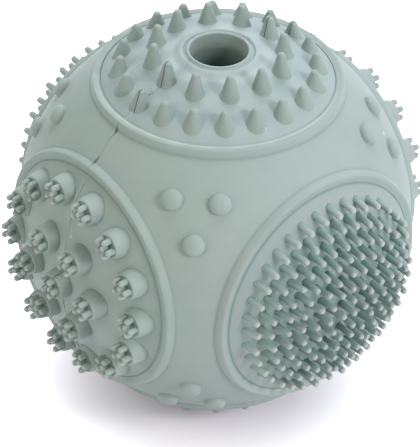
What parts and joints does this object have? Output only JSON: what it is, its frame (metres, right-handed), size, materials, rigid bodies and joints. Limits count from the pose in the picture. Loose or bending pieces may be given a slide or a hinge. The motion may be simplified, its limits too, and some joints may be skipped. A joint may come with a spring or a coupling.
{
  "type": "dog dental ball",
  "caption": "Hollow rubber chew ball with a treat hole and round patches of cones, nubbed studs and bristles that clean a dog's teeth.",
  "frame": {"origin": "centre of the ball, which is also the centre of its bounding box", "axes": "+Z out of the treat hole, X through the two stud patches, Y through the two bristle patches and square to the seam"},
  "size_m": [0.0798, 0.0804, 0.077],
  "materials": {
    "shell_rubber": "matt grey-green natural rubber",
    "bristle_rubber": "matt grey-green natural rubber",
    "cone_rubber": "matt grey-green natural rubber",
    "stud_rubber": "matt grey-green natural rubber"
  },
  "bodies": {
    "root": {"front_half_shell": "shell_rubber", "rear_half_shell": "shell_rubber", "front_bristle_pad": "bristle_rubber", "rear_bristle_pad": "bristle_rubber", "top_cone_pad_front": "cone_rubber", "top_cone_pad_rear": "cone_rubber", "bottom_cone_pad_front": "cone_rubber", "bottom_cone_pad_rear": "cone_rubber", "left_stud_pad_front": "stud_rubber", "left_stud_pad_rear": "stud_rubber", "right_stud_pad_front": "stud_rubber", "right_stud_pad_rear": "stud_rubber"}
  },
  "joints": []
}
